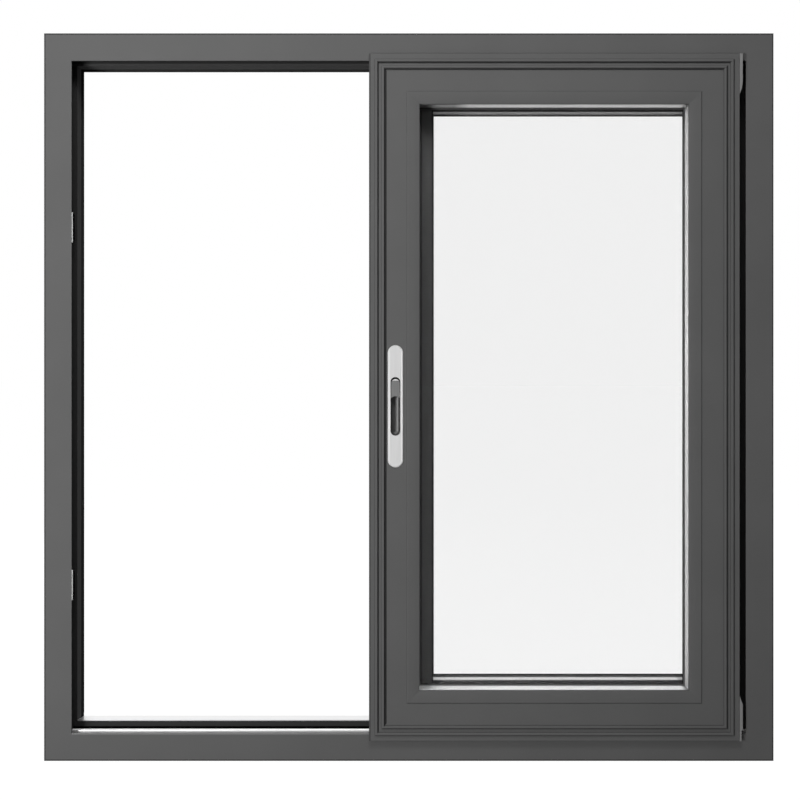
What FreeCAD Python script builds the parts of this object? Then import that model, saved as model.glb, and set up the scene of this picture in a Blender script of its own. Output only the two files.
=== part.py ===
import FreeCAD, Part
import math
import os
import re

import Sketcher

# Horizontal sliding window in dark grey aluminium, in millimetres. X runs along the
# window, Y into its depth and Z up. The origin is the middle of the sill's underside.
# Depths are measured from the front face of the outer frame, towards the back.
# An inset is measured from a ring's outer edge, towards its middle.

SIZES = {
    # Outer frame
    "window_width": 1200,
    "window_height": 1197,
    "frame_depth": 90,
    "frame_face": 45.5,
    "frame_lip": 3,
    "front_channel_end": 40,
    "centre_web_end": 70,
    "rear_lip": 4,
    "channel_floor": 33,
    "sill_floor": 39,
    "outer_round": 1.6,
    "edge_round": 0.8,
    # Running rail and the step behind it
    "rail_start": 20,
    "rail_width": 6,
    "rail_top": 47.3,
    "rail_round": 2.9,
    "rail_end_gap": 0.5,
    "step_front": 10.4,
    "step_rear": 4.8,
    "cover_thickness": 1.5,
    # Sliding sash
    "sash_width": 607.1,
    "sash_parked_gap": 12.6,
    "sash_overlap": 10.2,
    "sash_clearance": 5,
    "sash_proud": 9.5,
    "flange_back": 2,
    "sash_rear": 38,
    "sash_member": 82.7,
    "bead_width": 21,
    "ridge_height": 3.2,
    "ridge_width": 5,
    "outer_ridge": 9.7,
    "inner_ridge": 20.7,
    "ridge_round": 1.4,
    "flange_round": 1.2,
    "groove_front": 12,
    "groove_rear": 34,
    "groove_depth": 23.5,
    # Fixed light
    "light_gap": 7,
    "fixed_width": 588.7,
    "fixed_member": 75,
    "step_gap": 0.3,
    # Glazing
    "bead_crown": 1.5,
    "bead_edge": 3,
    "bead_radius": 60,
    "bead_round": 2.2,
    "bead_foot": 2.5,
    "bead_foot_depth": 9,
    "gasket_thickness": 1,
    "gasket_width": 11,
    "sash_gasket_reveal": 0.5,
    "fixed_gasket_reveal": 0,
    "pane_thickness": 4,
    "spacer_depth": 27,
    "spacer_width": 10,
    "glass_bite": 16,
    "sash_leg_reveal": 2.4,
    "fixed_leg_reveal": 2,
    "fixed_bead_reveal": 1.9,
    "sash_bead_reveal": 0,
    # Flush lock
    "lock_height": 583.7,
    "lock_inset": 43.3,
    "plate_width": 25,
    "plate_length": 200,
    "plate_thickness": 3,
    "plate_bevel": 1.4,
    "slot_width": 16,
    "slot_length": 96,
    "cup_wall": 1,
    "cup_depth": 12,
    "cup_round": 7,
    "cup_gap": 0.2,
    "slider_gap": 0.4,
    "slider_drop": 3.5,
    "slider_length": 28,
    "slider_recess": 0.8,
    "slider_thickness": 6,
    "slider_chamfer": 1.2,
    "thumb_radius": 9,
    # Keepers
    "keeper_length": 49.5,
    "keeper_spacing": 588,
    "keeper_top": 1.8,
    "keeper_front": 0.5,
    "keeper_rear": 14.5,
    "keeper_wall": 1.5,
    "keeper_end": 3,
    "keeper_slot_depth": 10,
    # Seals and end blocks
    "seal_clearance": 0.3,
    "seal_start": 2,
    "seal_width": 5,
    "brush_width": 8,
    "brush_inset": 10,
    "end_block_thickness": 5,
    "end_block_depth": 7.5,
    "upper_block_length": 46,
    "upper_block_shoulder": 57,
    "upper_block_waist": 3.4,
    "upper_block_point": 67,
    "lower_block_foot": 17,
    "lower_block_waist": 3,
    "lower_block_length": 60,
    "lower_block_point": 74,
    # Rollers and guide shoes
    "fit_gap": 0.3,
    "roller_radius": 12,
    "roller_width": 10,
    "rim_width": 1.2,
    "rim_height": 1.5,
    "roller_inset": 90,
    "axle_radius": 3,
    "axle_gap": 0.2,
    "wheel_gap": 0.6,
    "carriage_length": 70,
    "carriage_clearance": 6,
    "shoe_length": 50,
    "shoe_chamfer": 3,
}

doc = FreeCAD.newDocument("sliding_window")
sheet = doc.addObject("Spreadsheet::Sheet", "Sizes")


def fill_sheet():
    """One row a size: its name, its value and its alias."""
    for row, (name, value) in enumerate(SIZES.items(), start=1):
        sheet.set("A%d" % row, name)
        sheet.set("B%d" % row, str(value))
        sheet.setAlias("B%d" % row, name)
    doc.recompute()


def bound(formula):
    """Turn bare size names into references to the sheet."""
    return re.sub(r"\b([a-z]+(?:_[a-z]+)+)\b", r"Sizes.\1", str(formula))


def value(formula):
    """The number that a formula gives with the sheet's present values."""
    result = sheet.evalExpression(bound(formula))
    return float(getattr(result, "Value", result))


def bind(thing, **formulas):
    """Bind properties of an object to formulas of the sheet."""
    for name, formula in formulas.items():
        thing.setExpression(name, bound(formula))


def place(thing, at, turn=None):
    """Put an object at a point given by three formulas, with a fixed turn."""
    spot = FreeCAD.Vector(*[value(f) for f in at])
    thing.Placement = FreeCAD.Placement(spot, turn or FreeCAD.Rotation())
    for axis, formula in zip("xyz", at):
        thing.setExpression("Placement.Base." + axis, bound(formula))


def axes_turn(first, second, third):
    """The rotation that takes the local axes to three world directions."""
    columns = [FreeCAD.Vector(*first), FreeCAD.Vector(*second), FreeCAD.Vector(*third)]
    return FreeCAD.Rotation(*columns, "ZXY")


# How a member's own axes (inset, depth, length) lie on each side of a ring.
SIDE_TURNS = {
    "bottom": axes_turn((0, 0, 1), (0, 1, 0), (-1, 0, 0)),
    "top": axes_turn((0, 0, -1), (0, 1, 0), (1, 0, 0)),
    "left": axes_turn((1, 0, 0), (0, 1, 0), (0, 0, 1)),
    "right": axes_turn((-1, 0, 0), (0, 1, 0), (0, 0, -1)),
}

# Local X along the window, local Y up, local Z out of the window towards its front.
FACING_FRONT = axes_turn((1, 0, 0), (0, 0, 1), (0, -1, 0))

# Local Z into the depth, for turned pieces with their axis across the window.
AXIS_IN_DEPTH = axes_turn((1, 0, 0), (0, 0, -1), (0, 1, 0))


def new_body(name):
    body = doc.addObject("PartDesign::Body", name)
    body.Label = name
    return body


def new_sketch(body, plane, name, offset=None):
    """A sketch on one of the body's own origin planes, moved along its normal."""
    sketch = body.newObject("Sketcher::SketchObject", body.Name + "_" + name)
    support = [f for f in body.Origin.OriginFeatures if f.Role == plane][0]
    sketch.AttachmentSupport = [(support, "")]
    sketch.MapMode = "FlatFace"
    if offset is not None:
        along = FreeCAD.Vector(0, 0, value(offset))
        sketch.AttachmentOffset = FreeCAD.Placement(along, FreeCAD.Rotation())
        sketch.setExpression("AttachmentOffset.Base.z", bound(offset))
    return sketch


def hold(sketch, kind, *where, formula):
    """Add one dimension to a sketch and bind it to a formula."""
    index = sketch.addConstraint(Sketcher.Constraint(kind, *where, value(formula)))
    sketch.setExpression("Constraints[%d]" % index, bound(formula))


def hold_point(sketch, edge, end, at):
    hold(sketch, "DistanceX", -1, 1, edge, end, formula=at[0])
    hold(sketch, "DistanceY", -1, 1, edge, end, formula=at[1])


def arc_between(start, end, radius):
    """The short arc from start to end that bulges to the left of the way there."""
    middle = (start + end) * 0.5
    half = (end - start) * 0.5
    rise = math.sqrt(radius * radius - half.Length ** 2)
    side = FreeCAD.Vector(half.y, -half.x, 0).normalize()
    centre = middle + side * rise
    crown = centre + (middle - centre).normalize() * radius
    return Part.Arc(start, crown, end)


def outline(sketch, corners):
    """A closed outline. A corner is (x, y), or (x, y, radius) where an arc starts."""
    points = [FreeCAD.Vector(value(c[0]), value(c[1]), 0) for c in corners]
    count = len(corners)
    ends = []
    for index, corner in enumerate(corners):
        start = points[index]
        end = points[(index + 1) % count]
        if len(corner) == 2:
            edge = sketch.addGeometry(Part.LineSegment(start, end), False)
            ends.append((edge, 1, 2))
        else:
            arc = arc_between(start, end, value(corner[2]))
            edge = sketch.addGeometry(arc, False)
            forward = sketch.getPoint(edge, 1).distanceToPoint(start) < 0.001
            ends.append((edge, 1, 2) if forward else (edge, 2, 1))
    for index, corner in enumerate(corners):
        edge, first, last = ends[index]
        next_edge, next_first, next_last = ends[(index + 1) % count]
        sketch.addConstraint(Sketcher.Constraint("Coincident", edge, last, next_edge, next_first))
        hold_point(sketch, edge, first, corner)
        if len(corner) == 3:
            hold(sketch, "Radius", edge, formula=corner[2])


def stadium(sketch, width, length, height="0"):
    """An upright slot shape with round ends, its middle at the given height."""
    radius = value(width) / 2
    reach = (value(length) - value(width)) / 2
    top = FreeCAD.Vector(0, value(height) + reach, 0)
    bottom = FreeCAD.Vector(0, value(height) - reach, 0)
    out = FreeCAD.Vector(radius, 0, 0)
    normal = FreeCAD.Vector(0, 0, 1)
    upper_arc = Part.ArcOfCircle(Part.Circle(top, normal, radius), 0, math.pi)
    lower_arc = Part.ArcOfCircle(Part.Circle(bottom, normal, radius), math.pi, 2 * math.pi)
    upper = sketch.addGeometry(upper_arc, False)
    left = sketch.addGeometry(Part.LineSegment(top - out, bottom - out), False)
    lower = sketch.addGeometry(lower_arc, False)
    right = sketch.addGeometry(Part.LineSegment(bottom + out, top + out), False)
    for first, first_end, second, second_end in (
        (upper, 2, left, 1),
        (left, 2, lower, 1),
        (lower, 2, right, 1),
        (right, 2, upper, 1),
    ):
        sketch.addConstraint(Sketcher.Constraint("Coincident", first, first_end, second, second_end))
    for arc in (upper, lower):
        for end in (1, 2):
            sketch.addConstraint(Sketcher.Constraint("Horizontal", arc, 3, arc, end))
    sketch.addConstraint(Sketcher.Constraint("Vertical", left))
    hold(sketch, "Radius", upper, formula="(%s) / 2" % width)
    hold_point(sketch, upper, 3, ("0", "(%s) + ((%s) - (%s)) / 2" % (height, length, width)))
    hold_point(sketch, lower, 3, ("0", "(%s) - ((%s) - (%s)) / 2" % (height, length, width)))


def circle(sketch, at, radius):
    centre = FreeCAD.Vector(value(at[0]), value(at[1]), 0)
    ring = sketch.addGeometry(Part.Circle(centre, FreeCAD.Vector(0, 0, 1), value(radius)), False)
    hold_point(sketch, ring, 3, at)
    hold(sketch, "Radius", ring, formula=radius)


def pad(body, sketch, length, both_ways=False):
    feature = body.newObject("PartDesign::Pad", body.Name + "_pad")
    feature.Profile = sketch
    feature.Midplane = both_ways
    bind(feature, Length=length)
    doc.recompute()
    return feature


def pocket(body, sketch, name, depth=None):
    """Cut a sketch out of the body: a depth behind its plane, or all the way both ways."""
    before = body.Shape.Volume
    feature = body.newObject("PartDesign::Pocket", body.Name + "_" + name)
    feature.Profile = sketch
    if depth is None:
        feature.Type = "ThroughAll"
        feature.Midplane = True
    else:
        bind(feature, Length=depth)
    doc.recompute()
    if body.Shape.Volume >= before - 0.001:
        raise RuntimeError(feature.Name + " cuts nothing")
    return feature


def edges_where(feature, test):
    """Names of the edges whose every vertex meets a test."""
    return [
        "Edge%d" % number
        for number, edge in enumerate(feature.Shape.Edges, start=1)
        if all(test(vertex.Point) for vertex in edge.Vertexes)
    ]


def dress(body, kind, base, edges, size):
    """Round or bevel named edges of a feature of the body."""
    feature = body.newObject("PartDesign::" + kind, body.Name + "_" + kind.lower())
    feature.Base = (base, edges)
    bind(feature, **{"Radius" if kind == "Fillet" else "Size": size})
    doc.recompute()
    return feature


def close(first, second):
    return abs(first - second) < 0.01


def round_long_edges(body, base, corners, radius):
    """Round the edges of a pad that run along its length through given section points."""
    spots = [(value(x), value(y)) for x, y in corners]

    def at_a_spot(point):
        return any(close(point.x, x) and close(point.y, y) for x, y in spots)

    edges = [
        name
        for name in edges_where(base, at_a_spot)
        if base.Shape.getElement(name).BoundBox.ZLength > 1
    ]
    return dress(body, "Fillet", base, edges, radius)


def side_of(ring, side):
    """Where a member of a ring starts, and how long it is."""
    left, bottom, width, height = ring
    right = "(%s) + (%s)" % (left, width)
    top = "(%s) + (%s)" % (bottom, height)
    front = "-frame_depth / 2"
    return {
        "bottom": ((right, front, bottom), width),
        "top": ((left, front, top), width),
        "left": ((left, front, bottom), height),
        "right": ((right, front, top), height),
    }[side]


def mitred_member(name, ring, side, section, widest, rounds=()):
    """One side of a ring: its section as an extrusion, with both ends cut at 45 degrees."""
    at, length = side_of(ring, side)
    body = new_body(name)
    sketch = new_sketch(body, "XY_Plane", "section")
    outline(sketch, section)
    bar = pad(body, sketch, length)
    for corners, radius in rounds:
        bar = round_long_edges(body, bar, corners, radius)
    ends = new_sketch(body, "XZ_Plane", "mitre")
    reach = "(%s) + 1" % widest
    beyond = "(%s) + 1" % length
    outline(ends, [("-1", "-1"), (reach, "-1"), (reach, reach)])
    outline(ends, [("-1", beyond), (reach, "(%s) - (%s)" % (length, reach)), (reach, beyond)])
    pocket(body, ends, "mitre_cut")
    place(body, at, SIDE_TURNS[side])
    return body


def slab(name, at, size):
    """A plain rectangular piece."""
    box = doc.addObject("Part::Box", name)
    box.Label = name
    bind(box, Length=size[0], Width=size[1], Height=size[2])
    place(box, at)
    return box


def ring_slab(name, ring, outer, inner, start, depth):
    """A flat frame between two insets of a ring: one box with a smaller one cut out."""
    left, bottom, width, height = ring

    def box(label, inset, front, thickness):
        at = (
            "(%s) + (%s)" % (left, inset),
            "(%s) - frame_depth / 2" % front,
            "(%s) + (%s)" % (bottom, inset),
        )
        size = ("(%s) - 2 * (%s)" % (width, inset), thickness, "(%s) - 2 * (%s)" % (height, inset))
        return slab(name + label, at, size)

    if inner is None:
        pane = box("", outer, start, depth)
        return pane
    whole = box("_whole", outer, start, depth)
    window = box("_window", inner, "(%s) - 1" % start, "(%s) + 2" % depth)
    cut = doc.addObject("Part::Cut", name)
    cut.Label = name
    cut.Base = whole
    cut.Tool = window
    return cut


# The three rings: left edge, lower edge, width and height.
FRAME = ("-window_width / 2", "0", "window_width", "window_height")
SASH = (
    "window_width / 2 - frame_face - sash_parked_gap - sash_width",
    "frame_face - sash_overlap",
    "sash_width",
    "window_height - 2 * frame_face + 2 * sash_overlap",
)
FIXED = (
    "window_width / 2 - frame_face - fixed_width",
    "frame_face",
    "fixed_width",
    "window_height - 2 * frame_face",
)


def frame_members():
    """Head, sill and jambs: a lip in front, a wide running channel, a web and a rear channel."""
    for name, side, floor in (
        ("frame_head", "top", "channel_floor"),
        ("frame_sill", "bottom", "sill_floor"),
        ("frame_left_jamb", "left", "channel_floor"),
        ("frame_right_jamb", "right", "channel_floor"),
    ):
        section = [
            ("0", "0"),
            ("frame_face", "0"),
            ("frame_face", "frame_lip"),
            (floor, "frame_lip"),
            (floor, "front_channel_end"),
            ("frame_face", "front_channel_end"),
            ("frame_face", "centre_web_end"),
            ("channel_floor", "centre_web_end"),
            ("channel_floor", "frame_depth - rear_lip"),
            ("frame_face", "frame_depth - rear_lip"),
            ("frame_face", "frame_depth"),
            ("0", "frame_depth"),
        ]
        rounds = [([("0", "0")], "outer_round"), ([("frame_face", "0")], "edge_round")]
        mitred_member(name, FRAME, side, section, "frame_face", rounds)


def track():
    """The bright round-topped rail, and the step with its cover in the bay behind it."""
    rail = new_body("front_rail")
    sketch = new_sketch(rail, "XY_Plane", "section")
    outline(sketch, [
        ("sill_floor", "rail_start"),
        ("rail_top", "rail_start"),
        ("rail_top", "rail_start + rail_width"),
        ("sill_floor", "rail_start + rail_width"),
    ])
    length = "window_width - 2 * sill_floor - 2 * rail_end_gap"
    bar = pad(rail, sketch, length)
    top_edges = [("rail_top", "rail_start"), ("rail_top", "rail_start + rail_width")]
    round_long_edges(rail, bar, top_edges, "rail_round")
    place(rail, ("(%s) / 2" % length, "-frame_depth / 2", "0"), SIDE_TURNS["bottom"])

    run = "window_width - 2 * frame_face - fixed_width - step_gap"
    start = ("window_width / 2 - frame_face - fixed_width - step_gap", "-frame_depth / 2", "0")
    front_top = "frame_face + step_front"
    rear_top = "frame_face + step_rear"
    for name, corners in (
        ("sill_step", [
            ("frame_face", "front_channel_end"),
            (front_top, "front_channel_end"),
            (rear_top, "frame_depth"),
            ("frame_face", "frame_depth"),
        ]),
        ("sill_step_cover", [
            (front_top, "front_channel_end"),
            (front_top + " + cover_thickness", "front_channel_end"),
            (rear_top + " + cover_thickness", "frame_depth"),
            (rear_top, "frame_depth"),
        ]),
    ):
        body = new_body(name)
        profile = new_sketch(body, "XY_Plane", "section")
        outline(profile, corners)
        pad(body, profile, run)
        place(body, start, SIDE_TURNS["bottom"])


def keepers():
    """Two lock keepers in the left jamb's front channel, each a block with a deep slot."""
    for name, direction in (("upper_keeper", "+"), ("lower_keeper", "-")):
        body = new_body(name)
        sketch = new_sketch(body, "XY_Plane", "section")
        outline(sketch, [
            ("channel_floor", "frame_lip + fit_gap"),
            ("frame_face", "frame_lip + fit_gap"),
            ("frame_face", "keeper_front"),
            ("frame_face + keeper_top", "keeper_front"),
            ("frame_face + keeper_top", "keeper_rear"),
            ("channel_floor", "keeper_rear"),
        ])
        pad(body, sketch, "keeper_length")
        slot = new_sketch(body, "YZ_Plane", "slot", "frame_face + keeper_top")
        front = "keeper_front + keeper_wall"
        back = "keeper_rear - keeper_wall"
        outline(slot, [
            (front, "keeper_end"),
            (back, "keeper_end"),
            (back, "keeper_length - keeper_end"),
            (front, "keeper_length - keeper_end"),
        ])
        pocket(body, slot, "slot_cut", "keeper_slot_depth")
        height = "lock_height %s keeper_spacing / 2 - keeper_length / 2" % direction
        place(body, ("-window_width / 2", "-frame_depth / 2", height), SIDE_TURNS["left"])


def glazing(prefix, ring, member, face):
    """Beads, gasket, two panes and their spacer in the rebate of one ring."""
    rebate = "%s - bead_width" % member
    bead_inner = "%s - %s_bead_reveal" % (member, prefix)
    edge = "%s + bead_edge / 2" % face
    back = "%s + bead_edge / 2 + bead_edge" % face
    foot_end = "(%s) + bead_foot_depth" % back
    bead = [
        ("%s + bead_foot" % rebate, foot_end),
        ("%s + bead_foot" % rebate, back),
        (bead_inner, back),
        (bead_inner, edge, "bead_radius"),
        (rebate, "%s - bead_crown" % face),
        (rebate, foot_end),
    ]
    crown = [(rebate, "%s - bead_crown" % face)]
    for side in ("top", "bottom", "left", "right"):
        name = "%s_%s_bead" % (prefix, side)
        mitred_member(name, ring, side, bead, member, [(crown, "bead_round")])
    glass = "(%s) + gasket_thickness" % back
    cavity = "(%s) + pane_thickness" % glass
    rear = "%s + spacer_depth" % cavity
    edge_inset = "%s - glass_bite" % member
    gasket_outer = "%s - gasket_width" % member
    gasket_inner = "%s - %s_gasket_reveal" % (member, prefix)
    spacer_outer = "%s - spacer_width" % member
    ring_slab(prefix + "_gasket", ring, gasket_outer, gasket_inner, back, "gasket_thickness")
    ring_slab(prefix + "_front_pane", ring, edge_inset, None, glass, "pane_thickness")
    ring_slab(prefix + "_spacer", ring, spacer_outer, member, cavity, "spacer_depth")
    ring_slab(prefix + "_rear_pane", ring, edge_inset, None, rear, "pane_thickness")


# Depth from the frame's face at which the glass unit of a light ends on its rear leg.
UNIT = "bead_edge * 1.5 + gasket_thickness + 2 * pane_thickness + spacer_depth"


def fixed_light():
    """The fixed light behind: four plain mitred members with a glazing rebate in front."""
    face = "(sash_rear + light_gap)"
    leg = "%s + %s" % (face, UNIT)
    section = [
        ("0", face),
        ("fixed_member - bead_width", face),
        ("fixed_member - bead_width", leg),
        ("fixed_member + fixed_leg_reveal", leg),
        ("fixed_member + fixed_leg_reveal", "frame_depth"),
        ("0", "frame_depth"),
    ]
    for name, side in (
        ("fixed_top_rail", "top"),
        ("fixed_bottom_rail", "bottom"),
        ("fixed_meeting_stile", "left"),
        ("fixed_right_stile", "right"),
    ):
        widest = "fixed_member + fixed_leg_reveal"
        mitred_member(name, FIXED, side, section, widest, [([("0", face)], "edge_round")])
    glazing("fixed", FIXED, "fixed_member", face)


def sash_section():
    """Flange with two ridges, flat face, glazing rebate, rear leg and hardware groove."""
    face = "-sash_proud"
    crest = "-sash_proud - ridge_height"
    body_edge = "sash_overlap + sash_clearance"
    groove = "sash_overlap + sash_clearance + groove_depth"
    leg = "%s + %s" % (face, UNIT)
    return [
        ("0", "-flange_back"),
        ("0", face),
        ("outer_ridge", face),
        ("outer_ridge", crest),
        ("outer_ridge + ridge_width", crest),
        ("outer_ridge + ridge_width", face),
        ("inner_ridge", face),
        ("inner_ridge", crest),
        ("inner_ridge + ridge_width", crest),
        ("inner_ridge + ridge_width", face),
        ("sash_member - bead_width", face),
        ("sash_member - bead_width", leg),
        ("sash_member + sash_leg_reveal", leg),
        ("sash_member + sash_leg_reveal", "sash_rear"),
        (body_edge, "sash_rear"),
        (body_edge, "groove_rear"),
        (groove, "groove_rear"),
        (groove, "groove_front"),
        (body_edge, "groove_front"),
        (body_edge, "-flange_back"),
    ]


def sash_members():
    crest = "-sash_proud - ridge_height"
    rounds = [
        ([(x, crest) for x in (
            "outer_ridge",
            "outer_ridge + ridge_width",
            "inner_ridge",
            "inner_ridge + ridge_width",
        )], "ridge_round"),
        ([("0", "-sash_proud")], "flange_round"),
    ]
    for name, side in (
        ("sash_top_rail", "top"),
        ("sash_bottom_rail", "bottom"),
        ("sash_left_stile", "left"),
        ("sash_right_stile", "right"),
    ):
        widest = "sash_member + sash_leg_reveal"
        body = mitred_member(name, SASH, side, sash_section(), widest, rounds)
        if side == "left":
            pocket_for_cup(body)
    glazing("sash", SASH, "sash_member", "-sash_proud")


def pocket_for_cup(body):
    """The upright round-ended pocket that takes the lock's cup."""
    sketch = new_sketch(body, "XZ_Plane", "cup_pocket", "sash_proud")
    sketch.AttachmentOffset = FreeCAD.Placement(
        FreeCAD.Vector(value("lock_inset"), value("lock_height") - value(SASH[1]), value("sash_proud")),
        FreeCAD.Rotation(),
    )
    sketch.setExpression("AttachmentOffset.Base.x", bound("lock_inset"))
    sketch.setExpression("AttachmentOffset.Base.y", bound("lock_height - (%s)" % SASH[1]))
    gap = "2 * cup_wall + 2 * cup_gap"
    stadium(sketch, "slot_width + " + gap, "slot_length + " + gap)
    pocket(body, sketch, "cup_cut", "cup_depth + cup_gap")


LOCK_PLACE = ("(%s) + lock_inset" % SASH[0], "-frame_depth / 2 - sash_proud", "lock_height")


def lock():
    """Flush lock: a bevelled plate with a slot, a deep cup behind it and a thumb slider."""
    plate = new_body("lock_plate")
    sketch = new_sketch(plate, "XY_Plane", "outline")
    stadium(sketch, "plate_width", "plate_length")
    stadium(sketch, "slot_width", "slot_length")
    flat = pad(plate, sketch, "plate_thickness")
    front = value("plate_thickness")
    rim = edges_where(flat, lambda p: close(p.z, front) and abs(p.x) > value("slot_width") / 2 + 1)
    dress(plate, "Chamfer", flat, rim, "plate_bevel")
    place(plate, LOCK_PLACE, FACING_FRONT)

    cup = new_body("lock_cup")
    outer = new_sketch(cup, "XY_Plane", "outline", "-cup_depth")
    stadium(outer, "slot_width + 2 * cup_wall", "slot_length + 2 * cup_wall")
    pad(cup, outer, "cup_depth")
    inner = new_sketch(cup, "XY_Plane", "hollow")
    stadium(inner, "slot_width", "slot_length")
    hollow = pocket(cup, inner, "hollow_cut", "cup_depth - cup_wall")
    floor = value("cup_wall - cup_depth")
    floor_edges = edges_where(hollow, lambda p: close(p.z, floor))
    dress(cup, "Fillet", hollow, floor_edges, "cup_round")
    place(cup, LOCK_PLACE, FACING_FRONT)

    slider = new_body("thumb_slider")
    shape = new_sketch(slider, "XY_Plane", "outline")
    top = "slot_length / 2 - slider_drop"
    whole_length = "slider_length + thumb_radius"
    stadium(shape, "slot_width - 2 * slider_gap", whole_length, "%s - (%s) / 2" % (top, whole_length))
    block = pad(slider, shape, "slider_thickness")
    notch = new_sketch(slider, "XY_Plane", "thumb_notch", "slider_thickness")
    circle(notch, ("0", "%s - slider_length - thumb_radius" % top), "thumb_radius")
    pocket(slider, notch, "notch_cut", "slider_thickness")
    face = value("slider_thickness")
    tips = value("%s - slider_length" % top)
    rim = edges_where(slider.Tip, lambda p: close(p.z, face) and p.y > tips - 1.5)
    dress(slider, "Chamfer", slider.Tip, rim, "slider_chamfer")
    behind = "-frame_depth / 2 - sash_proud - plate_thickness + slider_recess + slider_thickness"
    place(slider, (LOCK_PLACE[0], behind, LOCK_PLACE[2]), FACING_FRONT)


def seals():
    """Seal behind the sash's flange, and the brush between the sash and the meeting stile."""
    ring_slab("sash_flange_seal", SASH, "seal_start", "seal_start + seal_width",
              "-flange_back", "flange_back - seal_clearance")
    height = "window_height - 2 * frame_face - 2 * seal_clearance"
    at = (
        "%s + brush_inset" % FIXED[0],
        "sash_rear + seal_clearance - frame_depth / 2",
        "frame_face + seal_clearance",
    )
    slab("meeting_brush", at, ("brush_width", "light_gap - seal_clearance", height))


def end_blocks():
    """Tapered plastic stops on the right edge of the sash, at its top and bottom corners."""
    right = "(%s) + sash_width" % SASH[0]
    front = "-frame_depth / 2 - flange_back"
    top = "(%s) + (%s)" % (SASH[1], SASH[3])
    upper = [
        ("0", "0"),
        ("0", "-upper_block_point"),
        ("upper_block_waist", "-upper_block_shoulder"),
        ("end_block_thickness", "-upper_block_length"),
        ("end_block_thickness", "0"),
    ]
    lower = [
        ("0", "0"),
        ("lower_block_waist", "0"),
        ("lower_block_waist", "lower_block_foot"),
        ("end_block_thickness", "lower_block_foot + end_block_thickness - lower_block_waist"),
        ("end_block_thickness", "lower_block_length"),
        ("0", "lower_block_point"),
    ]
    for name, height, corners in (
        ("sash_upper_end_block", top, upper),
        ("sash_lower_end_block", SASH[1], lower),
    ):
        body = new_body(name)
        sketch = new_sketch(body, "XY_Plane", "side")
        outline(sketch, corners)
        pad(body, sketch, "end_block_depth")
        place(body, (right, front, height), FACING_FRONT)


GROOVE_MIDDLE = "(groove_front + groove_rear) / 2"
GROOVE_WIDTH = "groove_rear - groove_front - 2 * fit_gap"


def rollers():
    """Two grooved rollers on the rail, each in a carriage in the bottom rail's groove."""
    sash_left = "(%s)" % SASH[0]
    groove_top = "(%s) + sash_overlap + sash_clearance + groove_depth - fit_gap" % SASH[1]
    axle_height = "rail_top + fit_gap + roller_radius - rim_height"
    bottom = "frame_face + carriage_clearance"
    depth = "%s - frame_depth / 2" % GROOVE_MIDDLE
    for side, across in (
        ("left", "%s + roller_inset" % sash_left),
        ("right", "%s + sash_width - roller_inset" % sash_left),
    ):
        wheel = new_body("%s_roller" % side)
        profile = new_sketch(wheel, "XZ_Plane", "profile")
        axle = "(%s) / 2" % GROOVE_WIDTH
        half = "roller_width / 2"
        outline(profile, [
            ("0", "-(%s)" % axle),
            ("axle_radius", "-(%s)" % axle),
            ("axle_radius", "-" + half),
            ("roller_radius", "-" + half),
            ("roller_radius", "rim_width - " + half),
            ("roller_radius - rim_height", "rim_width - " + half),
            ("roller_radius - rim_height", half + " - rim_width"),
            ("roller_radius", half + " - rim_width"),
            ("roller_radius", half),
            ("axle_radius", half),
            ("axle_radius", axle),
            ("0", axle),
        ])
        turned = wheel.newObject("PartDesign::Revolution", wheel.Name + "_turned")
        turned.Profile = profile
        turned.ReferenceAxis = (profile, ["V_Axis"])
        turned.Angle = 360
        doc.recompute()
        place(wheel, (across, depth, axle_height), AXIS_IN_DEPTH)

        carriage = new_body("%s_roller_carriage" % side)
        face = new_sketch(carriage, "XY_Plane", "side")
        low = "%s - (%s)" % (bottom, axle_height)
        high = "%s - (%s)" % (groove_top, axle_height)
        outline(face, [
            ("-carriage_length / 2", low),
            ("carriage_length / 2", low),
            ("carriage_length / 2", high),
            ("-carriage_length / 2", high),
        ])
        pad(carriage, face, GROOVE_WIDTH, both_ways=True)
        slot = new_sketch(carriage, "XZ_Plane", "wheel_slot")
        reach = "roller_radius + wheel_gap"
        width = "roller_width / 2 + wheel_gap"
        outline(slot, [
            ("-(%s)" % reach, "-(%s)" % width),
            (reach, "-(%s)" % width),
            (reach, width),
            ("-(%s)" % reach, width),
        ])
        pocket(carriage, slot, "wheel_slot_cut")
        bore = new_sketch(carriage, "XY_Plane", "axle_bore")
        circle(bore, ("0", "0"), "axle_radius + axle_gap")
        pocket(carriage, bore, "axle_bore_cut")
        place(carriage, (across, depth, axle_height), FACING_FRONT)


def guide_shoes():
    """Two guide shoes in the top rail's groove, running in the head's channel."""
    groove = "sash_overlap + sash_clearance + groove_depth"
    groove_bottom = "(%s) + (%s) - (%s) + fit_gap" % (SASH[1], SASH[3], groove)
    height = "window_height - channel_floor - fit_gap - (%s)" % groove_bottom
    body = new_body("guide_shoes")
    sketch = new_sketch(body, "XY_Plane", "side")
    half = "shoe_length / 2"
    outline(sketch, [
        ("-" + half, "0"),
        (half, "0"),
        (half, "%s - shoe_chamfer" % height),
        (half + " - shoe_chamfer", height),
        ("-%s + shoe_chamfer" % half, height),
        ("-" + half, "%s - shoe_chamfer" % height),
    ])
    shoe = pad(body, sketch, GROOVE_WIDTH, both_ways=True)
    pair = body.newObject("PartDesign::LinearPattern", "guide_shoes_pair")
    pair.Originals = [shoe]
    pair.Direction = (sketch, ["H_Axis"])
    pair.Occurrences = 2
    bind(pair, Length="sash_width - 2 * roller_inset")
    body.Tip = pair
    doc.recompute()
    across = "(%s) + roller_inset" % SASH[0]
    place(body, (across, "%s - frame_depth / 2" % GROOVE_MIDDLE, groove_bottom), FACING_FRONT)


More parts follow.
